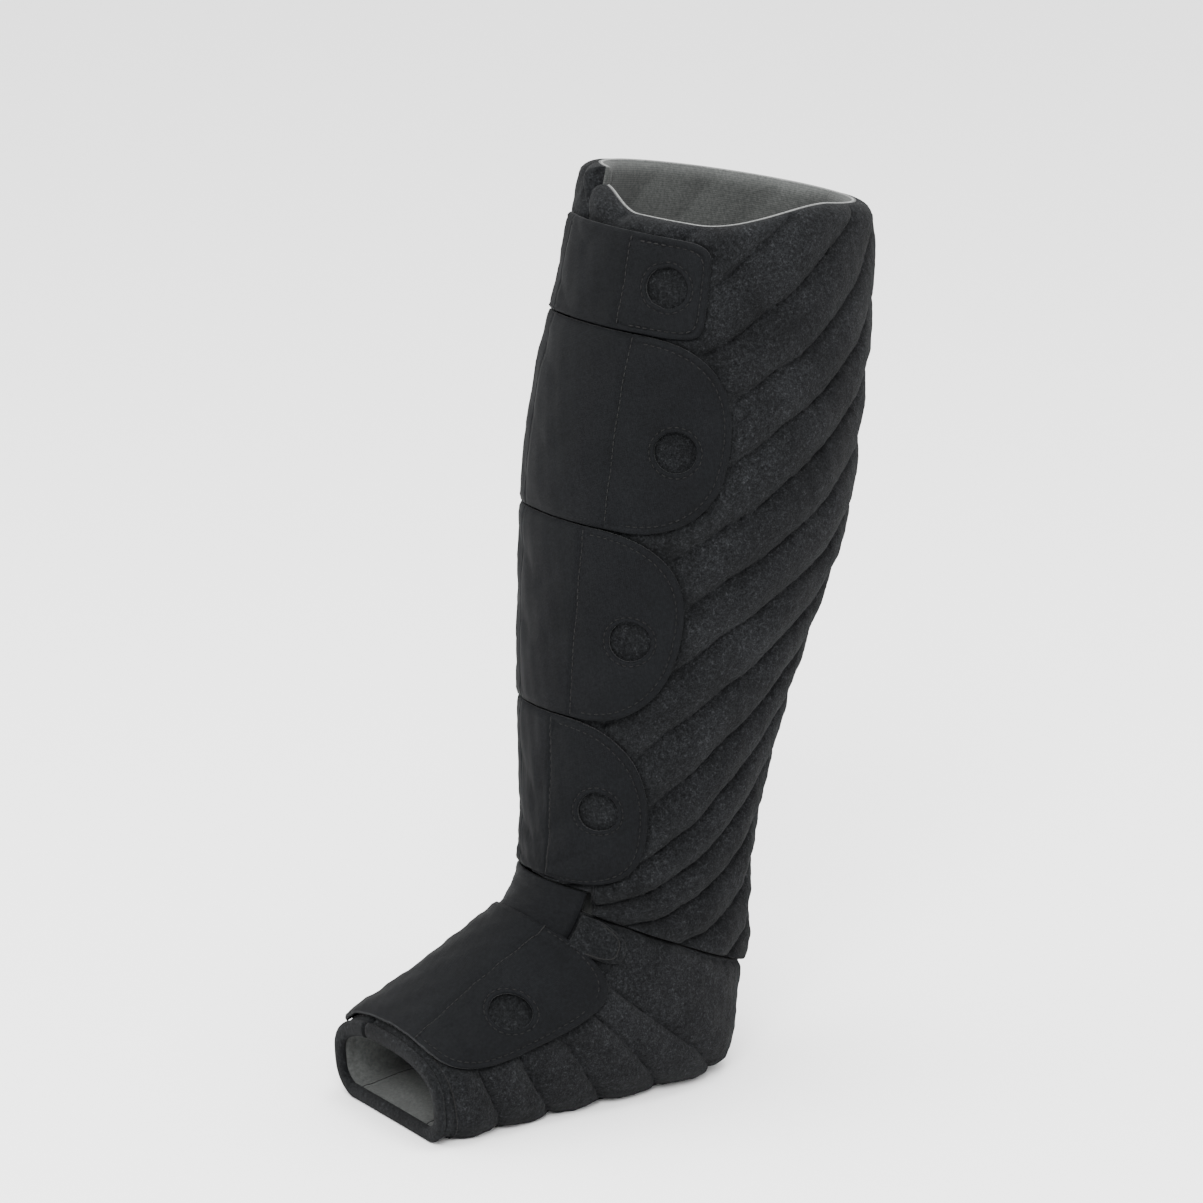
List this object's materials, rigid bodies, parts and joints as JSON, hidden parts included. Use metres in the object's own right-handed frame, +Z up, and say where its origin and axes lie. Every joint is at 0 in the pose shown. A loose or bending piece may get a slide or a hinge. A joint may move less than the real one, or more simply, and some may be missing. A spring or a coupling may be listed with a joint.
{
  "type": "quilted leg and foot compression wrap",
  "caption": "Knee-high open-toe quilted cold compression wrap with front straps, finger-hole tabs and hinged front panels.",
  "frame": {"origin": "on the flat resting face under the heel, in the middle plane of the leg", "axes": "+Z up along the leg, -Y toward the toes, +X toward the inner (medial) side of a right leg"},
  "size_m": [0.1468, 0.2589, 0.4408],
  "materials": {
    "cloth": "brushed loop pile",
    "strap": "smooth knit over foam",
    "hook": "hook tape",
    "lining": "smooth tricot",
    "binding": "folded knit binding",
    "fill": "soft filled channel"
  },
  "bodies": {
    "wall": {"back_cloth": "cloth", "back_channels": "fill", "back_lining": "lining", "back_top_binding": "binding", "fold_medial": "cloth", "fold_lateral": "cloth", "heel_cloth": "cloth", "heel_channels": "fill", "heel_lining": "lining", "sole_cloth": "cloth", "sole_pad": "fill", "sole_lining": "lining", "foot_medial_cloth": "cloth", "foot_medial_channels": "fill", "foot_medial_lining": "lining", "foot_lateral_cloth": "cloth", "foot_lateral_channels": "fill", "foot_lateral_lining": "lining", "toe_binding": "binding", "ankle_tongue": "strap", "ankle_tab": "cloth", "strap_5_root": "strap"},
    "panel_medial": {"medial_cloth": "cloth", "medial_channels": "fill", "medial_lining": "lining", "medial_top_binding": "binding", "medial_underlap": "lining"},
    "panel_lateral": {"lateral_cloth": "cloth", "lateral_channels": "fill", "lateral_lining": "lining", "lateral_top_binding": "binding"},
    "root_1": {"strap_1_root": "strap"},
    "band_1": {"strap_1_band": "strap"},
    "tab_1": {"strap_1_tab": "strap", "strap_1_hook": "hook"},
    "root_2": {"strap_2_root": "strap"},
    "band_2": {"strap_2_band": "strap"},
    "tab_2": {"strap_2_tab": "strap", "strap_2_hook": "hook"},
    "root_3": {"strap_3_root": "strap"},
    "band_3": {"strap_3_band": "strap"},
    "tab_3": {"strap_3_tab": "strap", "strap_3_hook": "hook"},
    "root_4": {"strap_4_root": "strap"},
    "band_4": {"strap_4_band": "strap"},
    "tab_4": {"strap_4_tab": "strap", "strap_4_hook": "hook"},
    "band_5": {"strap_5_band": "strap"},
    "tab_5": {"strap_5_tab": "strap", "strap_5_hook": "hook"}
  },
  "joints": [
    {"name": "lateral_open", "type": "hinge", "parent": "wall", "child": "panel_lateral", "pos_m": [-0.044, 0.041, 0.092], "axis": [0.0207, -0.1773, -0.9839], "range_deg": [0, 35]},
    {"name": "medial_open", "type": "hinge", "parent": "wall", "child": "panel_medial", "pos_m": [0.044, 0.041, 0.092], "axis": [0.0207, 0.1773, 0.9839], "range_deg": [0, 35]},
    {"name": "root_1_swing", "type": "hinge", "parent": "panel_lateral", "child": "root_1", "pos_m": [-0.02992, -0.02664, 0.39242], "axis": [-0.0341, -0.216, -0.9758], "range_deg": [0, 105]},
    {"name": "band_1_open", "type": "hinge", "parent": "root_1", "child": "band_1", "pos_m": [-0.0178, -0.03097, 0.39317], "axis": [-0.0203, -0.2206, -0.9752], "range_deg": [0, 80]},
    {"name": "tab_1_peel", "type": "hinge", "parent": "band_1", "child": "tab_1", "pos_m": [0.02756, -0.02768, 0.3926], "axis": [0.0315, -0.2171, -0.9756], "range_deg": [0, 90]},
    {"name": "root_2_swing", "type": "hinge", "parent": "panel_lateral", "child": "root_2", "pos_m": [-0.03173, -0.04211, 0.32573], "axis": [-0.0065, -0.181, -0.9835], "range_deg": [0, 105]},
    {"name": "band_2_open", "type": "hinge", "parent": "root_2", "child": "band_2", "pos_m": [-0.01888, -0.0467, 0.3265], "axis": [-0.0038, -0.1819, -0.9833], "range_deg": [0, 80]},
    {"name": "tab_2_peel", "type": "hinge", "parent": "band_2", "child": "tab_2", "pos_m": [0.03781, -0.03896, 0.3252], "axis": [0.0077, -0.1805, -0.9836], "range_deg": [0, 90]},
    {"name": "root_3_swing", "type": "hinge", "parent": "panel_lateral", "child": "root_3", "pos_m": [-0.02878, -0.05126, 0.23483], "axis": [0.0549, -0.0587, -0.9968], "range_deg": [0, 105]},
    {"name": "band_3_open", "type": "hinge", "parent": "root_3", "child": "band_3", "pos_m": [-0.01712, -0.05536, 0.23547], "axis": [0.0326, -0.0505, -0.9982], "range_deg": [0, 80]},
    {"name": "tab_3_peel", "type": "hinge", "parent": "band_3", "child": "tab_3", "pos_m": [0.02536, -0.05271, 0.23506], "axis": [-0.0483, -0.0558, -0.9973], "range_deg": [0, 90]},
    {"name": "root_4_swing", "type": "hinge", "parent": "panel_lateral", "child": "root_4", "pos_m": [-0.0239, -0.05531, 0.14182], "axis": [0.0537, -0.0401, -0.9978], "range_deg": [0, 105]},
    {"name": "band_4_open", "type": "hinge", "parent": "root_4", "child": "band_4", "pos_m": [-0.01419, -0.05872, 0.14224], "axis": [0.033, -0.0313, -0.999], "range_deg": [0, 80]},
    {"name": "tab_4_peel", "type": "hinge", "parent": "band_4", "child": "tab_4", "pos_m": [0.01119, -0.05938, 0.14232], "axis": [-0.0262, -0.0291, -0.9992], "range_deg": [0, 90]},
    {"name": "band_5_open", "type": "hinge", "parent": "wall", "child": "band_5", "pos_m": [-0.0378, -0.09628, 0.06234], "axis": [-0.0173, -0.9074, -0.4199], "range_deg": [0, 95]},
    {"name": "tab_5_peel", "type": "hinge", "parent": "band_5", "child": "tab_5", "pos_m": [0.0216, -0.10187, 0.06934], "axis": [0.0082, -0.8658, -0.5003], "range_deg": [0, 90]}
  ],
  "couplings": [
    {"joint": "medial_open", "follows": "lateral_open", "ratio": 1},
    {"joint": "root_1_swing", "follows": "lateral_open", "ratio": 3},
    {"joint": "root_2_swing", "follows": "lateral_open", "ratio": 3},
    {"joint": "root_3_swing", "follows": "lateral_open", "ratio": 3},
    {"joint": "root_4_swing", "follows": "lateral_open", "ratio": 3}
  ]
}
